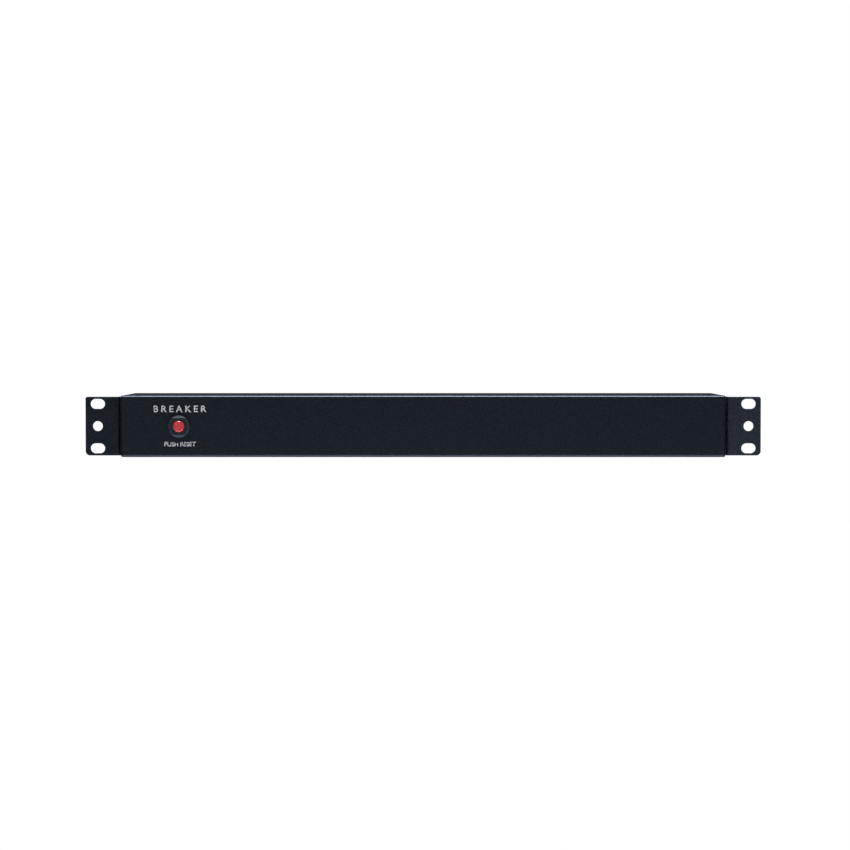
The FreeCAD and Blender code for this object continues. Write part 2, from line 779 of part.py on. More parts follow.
def outlet(number):
    """One grounded outlet: its face, and behind the panel a socket with three wells for contacts,
    open at the back. Its own origin is in the plane of the panel's face."""
    body = new_body(f"outlet_{number + 1:02d}", d.outlet_first + d.outlet_pitch * number, back_y)
    half_x, half_z = d.outlet_width / 2, d.outlet_height / 2
    rim = sketch_across(body, "Y")
    rectangle(rim, -half_x, half_x, -half_z, half_z)
    pad(rim, d.outlet_rim)
    dress(body, "Fillet", d.outlet_corner, lambda edge: lines_along(edge, "Y"))
    dress(body, "Chamfer", d.outlet_chamfer, lambda edge: lies_at(edge, y=d.outlet_rim))
    face = sketch_across(body, "Y", d.outlet_rim)
    inset = d.outlet_inset
    rectangle(face, inset - half_x, half_x - inset, inset - half_z, half_z - inset)
    pad(face, d.outlet_pad)
    face_y = d.outlet_rim + d.outlet_pad
    dress(
        body,
        "Fillet",
        d.outlet_pad_corner,
        lambda edge: lines_along(edge, "Y") and edge.BoundBox.YMax > face_y.value - SMALL,
    )
    socket = sketch_across(body, "Y")
    half_x, half_z = d.socket_width / 2, d.socket_height / 2
    rectangle(socket, -half_x, half_x, -half_z, half_z)
    pad(socket, d.socket_depth, -1)
    latches = sketch_across(body, "Z", -d.latch_height / 2)
    latch_x, catch = half_x + d.latch_reach, -d.gauge - 0.1
    for side in (1, -1):
        polygon(
            latches,
            [(half_x * side, -d.latch_depth), (half_x * side, catch), (latch_x * side, catch)],
        )
    pad(latches, d.latch_height)
    wells = sketch_across(body, "Y", -d.socket_depth)
    blade_x, half_well = d.blade_gap / 2, d.well / 2
    low, high = d.blade_rise - d.neutral_slot / 2, d.blade_rise + d.neutral_slot / 2
    for side in (1, -1):
        rectangle(wells, blade_x * side - half_well, blade_x * side + half_well, low, high)
    half_ground_x, half_ground_z = d.ground_well_width / 2, d.ground_well_height / 2
    low, high = ground_rise - half_ground_z, ground_rise + half_ground_z
    rectangle(wells, -half_ground_x, half_ground_x, low, high)
    pocket(wells, d.socket_depth - d.well_floor)
    slots = sketch_across(body, "Y", face_y)
    for x, height in ((-blade_x, d.line_slot), (blade_x, d.neutral_slot)):
        low, high = d.blade_rise - height / 2, d.blade_rise + height / 2
        rectangle(slots, x - d.blade_slot / 2, x + d.blade_slot / 2, low, high)
    arch(slots, 0, ground_rise, d.ground_hole, d.ground_hole / 2 - 0.4)
    pocket(slots, face_y + d.well_floor * 1.5, -1)
    pad_edge = (half_x - 3).value  # the mouths' edges all lie inside this, and the pad's outside
    dress(
        body,
        "Chamfer",
        d.slot_chamfer,
        lambda edge: lies_at(edge, y=face_y)
        and max(abs(edge.BoundBox.XMin), abs(edge.BoundBox.XMax)) < pad_edge
        and max(abs(edge.BoundBox.ZMin), abs(edge.BoundBox.ZMax)) < pad_edge,
    )
    pilot = sketch_across(body, "Y", -d.socket_depth)
    circle(pilot, d.pilot_shift, ground_rise, d.pilot)
    pocket(pilot, d.pilot_depth)
    return body


def bus_bar(label, blade_x, clip, strip, half_gap, half_grip, half_mouth):
    """One stamped brass strip with twelve spring clips and a tab. clip and strip are each a low and
    a high z. The clips' leaves are half_gap off their middle at the root, and close in to half_grip
    where they hold a blade and flare to half_mouth where it enters."""
    body = new_body(label, 0, socket_back_y)
    leaf = 0.5
    low, high = strip
    start = d.outlet_first - d.socket_width / 2 - 5
    end = d.outlet_first + d.outlet_pitch * (OUTLETS - 1) + 9
    middle = (low + high) / 2
    plate = sketch_across(body, "Y", -d.brass)
    tab_low, tab_high = middle - d.tab_width / 2, middle + d.tab_width / 2
    tip = start - d.tab_length
    polygon(
        plate,
        [
            (tip, tab_low + 0.8),
            (tip + 0.8, tab_low),
            (start, tab_low),
            (start, low),
            (end, low),
            (end, high),
            (start, high),
            (start, tab_high),
            (tip + 0.8, tab_high),
            (tip, tab_high - 0.8),
        ],
    )
    pad(plate, d.brass)
    tab_hole = sketch_across(body, "Y", -d.brass)
    circle(tab_hole, tip + 4, middle, 1.8)
    pocket(tab_hole, d.brass * 2)
    clip_low, clip_high = clip
    x = d.outlet_first + blade_x
    right = [
        (half_gap + leaf, -d.brass),
        (half_gap + leaf, 4),
        (half_grip + leaf, 12.5),
        (half_mouth + leaf, 17.4),
        (half_mouth, 17.7),
        (half_grip, 12.5),
        (half_gap, 4),
        (half_gap, 0),
    ]
    spring_clip = sketch_across(body, "Z", clip_low)
    polygon(
        spring_clip,
        [(x + px, py) for px, py in right] + [(x - px, py) for px, py in right[::-1]],
    )
    clip_pad = pad(spring_clip, clip_high - clip_low)
    web = sketch_across(body, "Y", -d.brass)
    web_low = high if clip_low.value > high.value else clip_high
    web_high = clip_low if clip_low.value > high.value else low
    if web_low.value > web_high.value:
        raise RuntimeError(f"{label} has its web upside down")
    rectangle(web, x - half_gap - leaf, x + half_gap + leaf, web_low - 0.4, web_high + 0.4)
    web_pad = pad(web, d.brass)
    span = d.outlet_pitch * (OUTLETS - 1)
    repeat_along([clip_pad, web_pad], "X_Axis", span, OUTLETS)
    return body


def bus_bars():
    blade_x = d.blade_gap / 2
    blade_clip = (d.blade_rise - 3, d.blade_rise + 3)
    ground_clip = (ground_rise - 2.2, ground_rise + 2.2)
    bus_bar("line_bus", -blade_x, blade_clip, (term(10.5), term(14.5)), 1.3, 0.5, 1.5)
    bus_bar("neutral_bus", blade_x, blade_clip, (term(-3.2), term(0.8)), 1.3, 0.5, 1.5)
    bus_bar("ground_bus", 0, ground_clip, (term(-14.5), term(-10.5)), 2.5, 2.0, 2.9)


def bus_cover():
    """The moulded insulating plate that holds the bus bars against the outlets."""
    body = new_body("bus_cover", 0, socket_back_y - d.brass)
    half_z = d.socket_height / 2
    start = d.outlet_first - d.socket_width / 2 - 2
    end = d.outlet_first + d.outlet_pitch * (OUTLETS - 1) + d.socket_width / 2
    plate = sketch_across(body, "Y")
    rectangle(plate, start, end, -half_z, half_z)
    pad(plate, d.cover_back, -1)
    dress(body, "Fillet", 2.0, lambda edge: lines_along(edge, "Y"))
    ribs = sketch_across(body, "Y")
    for low, high in ((half_z - 0.8, half_z), (-half_z, 0.8 - half_z)):
        rectangle(ribs, start + 3, end - 3, low, high)
    pad(ribs, d.brass)
    holes = sketch_across(body, "Y")
    for number in BUS_COVER_SCREW_OUTLETS:
        x = d.outlet_first + d.outlet_pitch * number + d.pilot_shift
        circle(holes, x, ground_rise, d.pilot + 0.3)
    pocket(holes, d.cover_back * 2, -1)
    return body


def bus_cover_screws():
    bodies = []
    for number in BUS_COVER_SCREW_OUTLETS:
        screw = pan_screw(f"bus_cover_screw_{number + 1}", d.pilot - 0.1, 4.4, 1.4, 9, 1.2)
        x = d.outlet_first + d.outlet_pitch * number + d.pilot_shift
        y = socket_back_y - d.brass - d.cover_back
        bodies.append(placed(screw, x, y, ground_rise, POINTING_FRONT))
    return group("bus_cover_screws", bodies)


# --- breaker: each piece's own origin is on the button's axis, at the back of the housing's face ---


def breaker_body(label):
    return new_body(label, d.breaker_x, inner_front_y)


def breaker_case():
    """The moulded case with its threaded neck, open at the back, and a wall that seats the spring."""
    body = breaker_body("breaker_case")
    half_x, half_z = d.case_width / 2, d.case_height / 2
    block = sketch_across(body, "Y")
    rectangle(block, -half_x, half_x, -half_z, half_z)
    pad(block, d.case_depth)
    dress(body, "Fillet", 1.0, lambda edge: lines_along(edge, "Y"))
    neck = sketch_across(body, "Y")
    circle(neck, 0, 0, d.neck)
    pad(neck, d.gauge + d.nut_depth, -1)
    well_x, well_z = half_x - d.case_side, half_z - d.case_end
    well = sketch_across(body, "Y", d.case_depth)
    rectangle(well, -well_x, well_x, -well_z, well_z)
    pocket(well, d.case_depth - d.case_front, -1)
    bore = sketch_across(body, "Y", -d.gauge - d.nut_depth)
    circle(bore, 0, 0, d.neck_bore)
    pocket(bore, d.gauge + d.nut_depth + d.case_front * 1.5)
    seat = sketch_across(body, "Y", seat_place)
    rectangle(seat, -well_x - 0.2, well_x + 0.2, 0.25, well_z + 0.2)
    pad(seat, 1.2)
    pilots = sketch_across(body, "Y", d.case_depth)
    for side in (1, -1):
        circle(pilots, 0, (half_z - d.case_end / 2) * side, 1.9)
    pocket(pilots, d.pilot_depth, -1)
    return body


def breaker_lid():
    """The plate that closes the case round the two terminals."""
    body = breaker_body("breaker_lid")
    half_x, half_z = d.case_width / 2, d.case_height / 2
    plate = sketch_across(body, "Y", d.case_depth)
    rectangle(plate, -half_x, half_x, -half_z, half_z)
    pad(plate, d.lid)
    dress(body, "Fillet", 1.0, lambda edge: lines_along(edge, "Y"))
    holes = sketch_across(body, "Y", d.case_depth)
    reach, half = d.tab_width / 2 + 0.1, d.brass / 2 + 0.05
    for side in (1, -1):
        z = d.terminal_height * side
        rectangle(holes, -reach, reach, z - half, z + half)
        circle(holes, 0, (half_z - d.case_end / 2) * side, 2.1)
    pocket(holes, d.lid * 2)
    return body


def breaker_lid_screws():
    bodies = []
    for number, side in enumerate((1, -1)):
        screw = pan_screw(f"breaker_lid_screw_{number + 1}", 1.8, 3.2, 1.0, 8, 0.9)
        y = inner_front_y + d.case_depth + d.lid
        z = (d.case_height - d.case_end) / 2 * side
        bodies.append(placed(screw, d.breaker_x, y, z, POINTING_BACK))
    return group("breaker_lid_screws", bodies)


def breaker_nut():
    """The round nut on the neck, seen on the face: flat in front, sloped off above and below, and
    notched all round its bore."""
    body = breaker_body("breaker_nut")
    back, radius = -d.gauge, d.nut / 2
    front = back - d.nut_depth
    ring = sketch_across(body, "Y", back)
    circle(ring, 0, 0, d.nut)
    circle(ring, 0, 0, d.neck + 0.1)
    pad(ring, d.nut_depth, -1)
    dress(
        body,
        "Fillet",
        0.5,
        lambda edge: lies_at(edge, y=front) and edge.BoundBox.XMax > radius.value - SMALL,
    )
    slopes = sketch_across(body, "X", -radius)
    for side in (1, -1):
        polygon(
            slopes,
            [
                (front, (radius - 1.7) * side),
                (front, (radius + 0.2) * side),
                (front + 1.3, (radius + 0.2) * side),
            ],
        )
    pocket(slopes, d.nut)
    notch = sketch_across(body, "Y", front)
    inner = d.neck / 2
    rectangle(notch, inner - 0.1, inner + 0.6, -0.3, 0.3)
    repeat_round([pocket(notch, 0.5)], "Y_Axis", 24)
    return body


def reset_button():
    """The red button with its flange, and two arms that carry the insulating tongue behind the
    contacts, ready to slide between them."""
    body = breaker_body("reset_button")
    tip = -d.gauge - d.nut_depth - d.button_proud
    shoulder = d.case_front + d.button_travel + 0.1
    post = sketch_across(body, "Y", tip)
    circle(post, 0, 0, d.button)
    pad(post, shoulder - tip)
    dress(body, "Fillet", 1.1, lambda edge: lies_at(edge, y=tip))
    dish = sketch_across(body, "Y", tip)
    circle(dish, 0, 0, 4.6)
    pocket(dish, 0.18)
    flange = sketch_across(body, "Y", shoulder)
    rectangle(flange, -4.8, 4.8, -7, 7)
    pad(flange, 1.5)
    boss = sketch_across(body, "Y", shoulder + 1.5)
    circle(boss, 0, d.spring_rise, 3.2)
    pad(boss, 2)
    arm_end = d.contact_place + d.contact / 2 + d.button_travel + 0.9
    arms = sketch_across(body, "Y", shoulder + 1)
    for side in (1, -1):
        polygon(
            arms,
            [(3.6 * side, -6), (4.8 * side, -6), (4.8 * side, -2), (3.6 * side, -2)],
        )
    pad(arms, arm_end - shoulder - 1)
    tongue = sketch_across(body, "Y", arm_end - 2.5)
    rectangle(tongue, -3.8, 3.8, -4.7, -4.1)
    pad(tongue, 2.5)
    return body


def reset_spring():
    """The coil spring between the button's flange and the case's wall, along the button's axis."""
    start = d.case_front + d.button_travel + 1.6 + d.spring_wire / 2 + 0.05
    end = seat_place - d.spring_wire / 2 - 0.05
    body = new_body("reset_spring", d.breaker_x, inner_front_y + start, d.spring_rise, POINTING_BACK)
    section = sketch_across(body, "Y")
    circle(section, d.spring_radius, 0, d.spring_wire)
    coil = add_feature(body, "AdditiveHelix", section)
    coil.ReferenceAxis = (section, ["V_Axis"])
    coil.Mode = 0
    bind(coil, "Pitch", (end - start) / SPRING_TURNS)
    bind(coil, "Height", end - start)
    return body


def breaker_terminals():
    """The two terminals: the line one runs straight in under its contact, and the load one turns
    down behind the blade's root."""
    half = d.tab_width / 2
    tip = d.case_depth + d.lid + 8
    for label, outline in (
        (
            "breaker_line_terminal",
            [
                (10, -d.terminal_height - d.brass / 2),
                (tip, -d.terminal_height - d.brass / 2),
                (tip, d.brass / 2 - d.terminal_height),
                (10, d.brass / 2 - d.terminal_height),
            ],
        ),
        (
            "breaker_load_terminal",
            [
                (d.hinge_place + 0.7, -4.75),
                (d.hinge_place + 0.7 + d.brass, -4.75),
                (d.hinge_place + 0.7 + d.brass, d.terminal_height - d.brass / 2),
                (tip, d.terminal_height - d.brass / 2),
                (tip, d.terminal_height + d.brass / 2),
                (d.hinge_place + 0.7, d.terminal_height + d.brass / 2),
            ],
        ),
    ):
        body = breaker_body(label)
        profile = sketch_across(body, "X", -half)
        polygon(profile, outline)
        pad(profile, d.tab_width)
        hole = sketch_across(body, "Z", -d.case_height / 2)
        circle(hole, 0, tip - 3.5, 1.8)
        pocket(hole, d.case_height)


def breaker_contacts():
    """The fixed contact on the line terminal and the moving one under the blade, closed."""
    for label, low in (("fixed_contact", contact_low), ("moving_contact", contact_low + d.brass)):
        body = breaker_body(label)
        disc = sketch_across(body, "Z", low)
        circle(disc, 0, d.contact_place, d.contact)
        pad(disc, d.brass)


def bimetal_blade():
    """The bimetal blade, with a round root that it turns about as it snaps open."""
    body = breaker_body("bimetal_blade")
    strip = sketch_across(body, "X", -2.5)
    rectangle(
        strip,
        d.contact_place - d.contact / 2,
        d.hinge_place,
        blade_low,
        blade_low + d.blade,
    )
    pad(strip, 5)
    root = sketch_across(body, "X", -2.5)
    circle(root, d.hinge_place, blade_low + d.blade / 2, 0.9)
    pad(root, 5)
    return body


# --- cord gland: each piece's own origin is on the gland's axis, in the plane of the panel's face ---


def gland_piece(label):
    return new_body(label, d.gland_x, back_y)


def gland_body():
    """The gland's hollow body: a thread through the panel, a hexagon, and a thread for the cap."""
    body = gland_piece("gland_body")
    hexagon_sketch = sketch_across(body, "Y")
    hexagon(hexagon_sketch, d.gland_flats)
    pad(hexagon_sketch, d.gland_hexagon)
    inner_thread = sketch_across(body, "Y")
    circle(inner_thread, 0, 0, d.gland_thread)
    pad(inner_thread, d.gland_root, -1)
    outer_thread = sketch_across(body, "Y", d.gland_hexagon)
    circle(outer_thread, 0, 0, d.cap_thread)
    pad(outer_thread, d.cap_thread_length)
    mouth_y = d.gland_hexagon + d.cap_thread_length
    bore = sketch_across(body, "Y", mouth_y)
    circle(bore, 0, 0, d.gland_bore)
    pocket(bore, mouth_y + d.gland_root + 2, -1)
    seat = sketch_across(body, "Y", mouth_y)
    circle(seat, 0, 0, d.seal_seat)
    pocket(seat, d.seal_seat_depth, -1)
    return body


def gland_locknut():
    """The hexagonal nut that holds the gland from inside the housing."""
    body = gland_piece("gland_locknut")
    outline = sketch_across(body, "Y", -d.gauge)
    hexagon(outline, d.gland_flats - 1)
    circle(outline, 0, 0, d.gland_thread + 0.1)
    pad(outline, d.locknut_height, -1)
    return body


def gland_seal():
    """The rubber sleeve that the cap squeezes round the cord."""
    body = gland_piece("gland_seal")
    profile = sketch_across(body, "X")
    inner = d.cord_hole / 2
    polygon(profile, [(3.1, inner), (13.4, inner), (13.4, 5.6), (12.1, 6.9), (3.1, 6.9)])
    turned(profile, "H_Axis")
    return body


def gland_cap():
    """The domed nut that closes the gland."""
    body = gland_piece("gland_cap")
    profile = sketch_across(body, "X")
    polygon(
        profile,
        [
            (4.5, 8.5),
            (12.4, 8.5),
            (13.6, 7.2),
            (14.4, 5.9),
            (20.0, 5.9),
            (20.0, 7.4),
            (18.8, 8.9),
            (16.6, 10.2),
            (13.5, 10.8),
            (4.5, 10.8),
        ],
    )
    turned(profile, "H_Axis")
    grip = sketch_across(body, "Y", 4.5)
    hexagon(grip, d.gland_flats)
    circle(grip, 0, 0, 17.0)
    pad(grip, 7.5)
    return body


# --- earth stud, push-on terminals and wires ---


def earth_fasteners():
    """The stud welded to the housing's floor, the toothed washer and the nut on it."""
    stud = new_body("earth_stud", d.stud_x, d.stud_y, inner_floor_z)
    profile = sketch_across(stud, "Y")
    radius = d.stud / 2
    polygon(profile, [(0, 0), (4, 0), (4, 1), (radius, 1), (radius, 8.6), (radius - 0.4, 9), (0, 9)])
    turned(profile, "V_Axis")
    washer = new_body("earth_washer", d.stud_x, d.stud_y, inner_floor_z + 1.8)
    ring = sketch_across(washer, "Z")
    circle(ring, 0, 0, 7.6)
    circle(ring, 0, 0, d.stud + 0.3)
    pad(ring, 0.6)
    tooth = sketch_across(washer, "Z")
    rectangle(tooth, 3.1, 4.0, -0.25, 0.25)
    repeat_round([pocket(tooth, 0.6)], "Z_Axis", 12)
    nut = new_body("earth_nut", d.stud_x, d.stud_y, inner_floor_z + 2.4)
    hexagonal = sketch_across(nut, "Z")
    hexagon(hexagonal, 7)
    circle(hexagonal, 0, 0, d.stud + 0.1)
    pad(hexagonal, 3.2)


def ring_terminal():
    """The crimped ring on the stud; its barrel points to the back."""
    body = new_body("ring_terminal", d.stud_x, d.stud_y, inner_floor_z + 1)
    ring = sketch_across(body, "Z")
    circle(ring, 0, 0, 8.2)
    pad(ring, d.brass)
    neck = sketch_across(body, "Z")
    rectangle(neck, -2, 2, 0, 6)
    pad(neck, d.brass)
    barrel = sketch_across(body, "Y", 5)
    barrel_radius = d.wire / 2 + 0.5
    circle(barrel, 0, barrel_radius, barrel_radius * 2)
    pad(barrel, 7.5)
    hole = sketch_across(body, "Z")
    circle(hole, 0, 0, d.stud + 0.2)
    pocket(hole, 2)
    bore = sketch_across(body, "Y", 12.5)
    circle(bore, 0, barrel_radius, d.wire + 0.1)
    pocket(bore, 6, -1)
    return body


def push_on(label, x, y, z, turn):
    """An insulated push-on terminal: its mouth at its own origin, and the wire's barrel along +Z."""
    body = new_body(label, x, y, z, turn)
    shell = sketch_across(body, "Z")
    rectangle(shell, -1.6, 1.6, -3.8, 3.8)
    pad(shell, 11)
    dress(body, "Fillet", 1.2, lambda edge: lines_along(edge, "Z"))
    barrel = sketch_across(body, "Z", 11)
    circle(barrel, 0, 0, 5.2)
    pad(barrel, 8)
    mouth = sketch_across(body, "Z")
    reach, half = d.tab_width / 2 + 0.15, d.brass / 2 + 0.1
    rectangle(mouth, -half, half, -reach, reach)
    pocket(mouth, 9)
    bore = sketch_across(body, "Z", 19)
    circle(bore, 0, 0, d.wire + 0.1)
    pocket(bore, 7, -1)
    return body


def push_on_terminals():
    """The two push-on terminals on the line and ground bus bars' tabs."""
    x = d.outlet_first - d.socket_width / 2 - 6.5
    y = socket_back_y - d.brass / 2
    line = push_on("push_on_line", x, y, term(12.5), FLAT_TO_LEFT)
    ground = push_on("push_on_ground", x, y, term(-12.5), FLAT_TO_LEFT)
    return group("push_on_terminals", [line, ground])


def flag_terminal():
    """The insulated terminal on the breaker's load tab, its barrel pointing to the left."""
    body = breaker_body("flag_terminal")
    start = d.case_depth + d.lid + 0.4
    shell = sketch_across(body, "Z", d.terminal_height - 1.6)
    rectangle(shell, -4, 4, start, start + 9)
    pad(shell, 3.2)
    dress(body, "Fillet", 1.2, lambda edge: lines_along(edge, "Y"))
    barrel = sketch_across(body, "X", -4)
    circle(barrel, start + 5.4, d.terminal_height, 5.2)
    pad(barrel, 8, -1)
    mouth = sketch_across(body, "Y", start)
    reach, half = d.tab_width / 2 + 0.15, d.brass / 2 + 0.1
    z = d.terminal_height
    rectangle(mouth, -reach, reach, z - half, z + half)
    pocket(mouth, 8)
    bore = sketch_across(body, "X", -12)
    circle(bore, start + 5.4, z, d.wire + 0.1)
    pocket(bore, 7)
    return body


def wire(label, route):
    """An insulated wire along straight runs joined by tangent arcs, each as large as fits."""
    points = [Vector(*(term(number).value for number in point)) for point in route]
    edges, last, radii = [], points[0], []
    for before, at, after in zip(points, points[1:], points[2:]):
        back, on = before - at, after - at
        half_turn = (math.pi - back.getAngle(on)) / 2
        reach = WIRE_EASE * min(back.Length, on.Length)
        radius = reach / math.tan(half_turn)
        into, out = back.normalize(), on.normalize()
        start, end = at + into * reach, at + out * reach
        inward = (into + out).normalize()
        middle = at + inward * (radius / math.cos(half_turn) - radius)
        edges += [Part.LineSegment(last, start).toShape(), Part.Arc(start, middle, end).toShape()]
        last = end
        radii.append(round(radius, 1))
    edges.append(Part.LineSegment(last, points[-1]).toShape())
    path = Part.Wire(edges)
    section = Part.Wire(Part.makeCircle(d.wire.value / 2, points[0], points[1] - points[0]))
    tube = path.makePipeShell([section], True, True)
    wanted = math.pi * d.wire.value**2 / 4 * path.Length
    print(f"{label}: length {path.Length:.1f}, radii {radii}, volume {tube.Volume / wanted:.4f}")
    if abs(tube.Volume / wanted - 1) > SMALL:
        raise RuntimeError(f"{label} doesn't have the volume of its section times its length")
    return plain(label, tube, Placement())


def wires():
    """The wire from the breaker to the line bus bar, and the one that earths the ground bus bar."""
    bus_y = socket_back_y - d.brass / 2
    bus_end = d.outlet_first - d.socket_width / 2 - 6.5 - 12.5
    breaker_y = inner_front_y + d.case_depth + d.lid + 0.4 + 5.4
    flag_x = d.breaker_x - 5.5
    z = d.terminal_height
    wire(
        "load_wire",
        [
            (flag_x, breaker_y, z),
            (flag_x - 16, breaker_y, z),
            (flag_x - 26, breaker_y + 9, z + 2),
            (flag_x - 26.5, breaker_y + 19.5, z + 4.5),
            (flag_x - 19.5, bus_y, term(12.5)),
            (bus_end, bus_y, term(12.5)),
        ],
    )
    barrel_z = inner_floor_z + 1 + d.wire / 2 + 0.5
    wire(
        "earth_wire",
        [
            (bus_end, bus_y, term(-12.5)),
            (bus_end - 13, bus_y, term(-12.5)),
            (bus_end - 21, bus_y - 9.5, term(-15)),
            (d.stud_x, d.stud_y + 18.5, barrel_z),
            (d.stud_x, d.stud_y + 7, barrel_z),
        ],
    )


# --- the whole strip ---


def build():
    front_housing()
    rear_panel()
    cover_screws("top_cover_screws", True)
    cover_screws("bottom_cover_screws", False)
    cover_clinch_nuts()
    rack_ear("right_rack_ear", 1)
    rack_ear("left_rack_ear", -1)
    ear_fasteners("right", 1)
    ear_fasteners("left", -1)
    for number in range(OUTLETS):
        outlet(number)
    bus_bars()
    bus_cover()
    bus_cover_screws()
    breaker_case()
    breaker_lid()
    breaker_lid_screws()
    breaker_nut()
    reset_button()
    reset_spring()
    breaker_terminals()
    breaker_contacts()
    bimetal_blade()
    gland_body()
    gland_locknut()
    gland_seal()
    gland_cap()
    earth_fasteners()
    ring_terminal()
    push_on_terminals()
    flag_terminal()
    wires()


def sub_parts():
    """The document's finished pieces: every body, compound and plain piece that no group holds."""
    kinds = ("PartDesign::Body", "Part::Compound", "Part::Feature")
    held = {link.Name for thing in doc.Objects if thing.TypeId == kinds[1] for link in thing.Links}
    return [thing for thing in doc.Objects if thing.TypeId in kinds and thing.Name not in held]


def check():
    """Stops if anything in the document failed, or a piece has no sound solid."""
    for thing in doc.Objects:
        if "Invalid" in thing.State or "Error" in thing.State:
            raise RuntimeError(f"{thing.Name} ({thing.Label}) failed: {thing.State}")
    for piece in sub_parts():
        shape = piece.Shape
        if shape.isNull() or not shape.isValid() or not shape.Solids:
            raise RuntimeError(f"{piece.Label} has no valid solid")


def write():
    os.makedirs("parts", exist_ok=True)
    for piece in sub_parts():
        piece.Shape.exportStep(f"parts/{piece.Label}.step")
    print(f"{len(sub_parts())} sub-parts written")


build()
doc.recompute()
check()
write()
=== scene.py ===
import json
import math

import bmesh
import bpy
from mathutils import Matrix, Vector


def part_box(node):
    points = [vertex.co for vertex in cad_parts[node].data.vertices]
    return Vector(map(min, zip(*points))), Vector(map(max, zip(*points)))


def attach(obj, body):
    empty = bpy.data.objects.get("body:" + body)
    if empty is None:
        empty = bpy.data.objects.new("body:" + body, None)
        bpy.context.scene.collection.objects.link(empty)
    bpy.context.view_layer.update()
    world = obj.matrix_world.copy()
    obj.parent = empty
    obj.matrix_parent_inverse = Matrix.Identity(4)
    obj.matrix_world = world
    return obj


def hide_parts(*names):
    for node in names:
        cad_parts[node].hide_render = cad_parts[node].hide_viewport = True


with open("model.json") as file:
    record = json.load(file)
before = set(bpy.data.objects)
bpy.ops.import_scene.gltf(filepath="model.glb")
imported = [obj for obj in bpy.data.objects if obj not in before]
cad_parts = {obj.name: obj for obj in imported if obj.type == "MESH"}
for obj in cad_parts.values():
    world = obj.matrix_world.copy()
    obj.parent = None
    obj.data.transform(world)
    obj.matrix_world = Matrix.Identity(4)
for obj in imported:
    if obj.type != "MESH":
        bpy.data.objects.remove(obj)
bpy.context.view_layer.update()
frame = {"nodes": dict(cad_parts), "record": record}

MM = 0.001

nodes = frame["nodes"]
slot_of_node = {part["node"]: part["material_slot"] for part in frame["record"]["subparts"]}
body_of_node = {
    node: body
    for body, members in frame["record"]["behaviour"]["bodies"].items()
    for node in members
}


def corners(node):
    """A node's lowest and highest corner at rest."""
    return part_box(node)


def centre(node):
    low, high = corners(node)
    return (low + high) / 2


housing_low, housing_high = corners("front_housing")
face_y = housing_low.y
breaker = centre("breaker_nut")

# --- camera, floor and light ---

CAMERA_DISTANCE = 1.920
CAMERA_RISE = 0.062
CAMERA_ASIDE = 0.0013
CAMERA_REACH = 100
LENS = 114.2  # millimetres, as is the sensor
SENSOR_WIDTH = 36
AIM_RISE = 0.0010

FLOOR_DROP = 0.52
FLOOR_RADIUS = 0.42
FLOOR_SIDES = 96
FLOOR_GREY = 0.86
FLOOR_ROUGHNESS = 0.9
FLOOR_SPECULAR = 0.1

GLOW_ABOVE = 0.03  # how strongly the surroundings light the strip from above the horizon
GLOW_BELOW = 0.18  # and from below it
GLOW_CHANGE = (-0.15, 0.05)  # the heights of direction between which one turns into the other
GLOW_COLOUR = (0.88, 0.94, 1.0)

ORIGIN = (0, 0, 0)
STRIP_MIDDLE = (0, 0.04, 0)
PALE_BLUE = (0.95, 0.97, 1.0)


def aim(thing, target):
    thing.rotation_mode = "QUATERNION"
    thing.rotation_quaternion = (Vector(target) - thing.location).to_track_quat("-Z", "Y")


def put_in_scene(name, data):
    thing = bpy.data.objects.new(name, data)
    bpy.context.scene.collection.objects.link(thing)
    return thing


def add_camera():
    data = bpy.data.cameras.new("camera")
    data.lens = LENS
    data.sensor_width = SENSOR_WIDTH
    data.clip_end = CAMERA_REACH
    camera = put_in_scene("camera", data)
    camera.location = (CAMERA_ASIDE, face_y - CAMERA_DISTANCE, CAMERA_RISE)
    aim(camera, (CAMERA_ASIDE, face_y, AIM_RISE))
    bpy.context.scene.camera = camera


def add_softbox(name, place, size, power, colour=PALE_BLUE, target=STRIP_MIDDLE):
    """A rectangle of light that the camera doesn't see."""
    data = bpy.data.lights.new(name, "AREA")
    data.shape = "RECTANGLE"
    data.size, data.size_y = size
    data.energy = power
    data.color = colour
    light = put_in_scene(name, data)
    light.location = place
    light.visible_camera = False
    aim(light, target)


def add_sun(name, place, power, spread, colour):
    """A broad even light from the direction of place, spread over that many degrees."""
    data = bpy.data.lights.new(name, "SUN")
    data.energy = power
    data.angle = math.radians(spread)
    data.color = colour
    light = put_in_scene(name, data)
    light.location = place
    aim(light, ORIGIN)


def add_floor():
    """A plain white round floor, well under the strip, as it would hang in its rack."""
    mesh = bpy.data.meshes.new("floor")
    shape = bmesh.new()
    bmesh.ops.create_circle(shape, cap_ends=True, radius=FLOOR_RADIUS, segments=FLOOR_SIDES)
    middle = (housing_low + housing_high) / 2
    bmesh.ops.translate(shape, verts=shape.verts, vec=(0, middle.y, housing_low.z - FLOOR_DROP))
    shape.to_mesh(mesh)
    shape.free()
    floor = put_in_scene("floor", mesh)
    white = bpy.data.materials.new("floor_white")
    white.use_nodes = True
    shader = white.node_tree.nodes["Principled BSDF"]
    shader.inputs["Base Color"].default_value = (FLOOR_GREY, FLOOR_GREY, FLOOR_GREY, 1)
    shader.inputs["Roughness"].default_value = FLOOR_ROUGHNESS
    shader.inputs["Specular IOR Level"].default_value = FLOOR_SPECULAR
    mesh.materials.append(white)


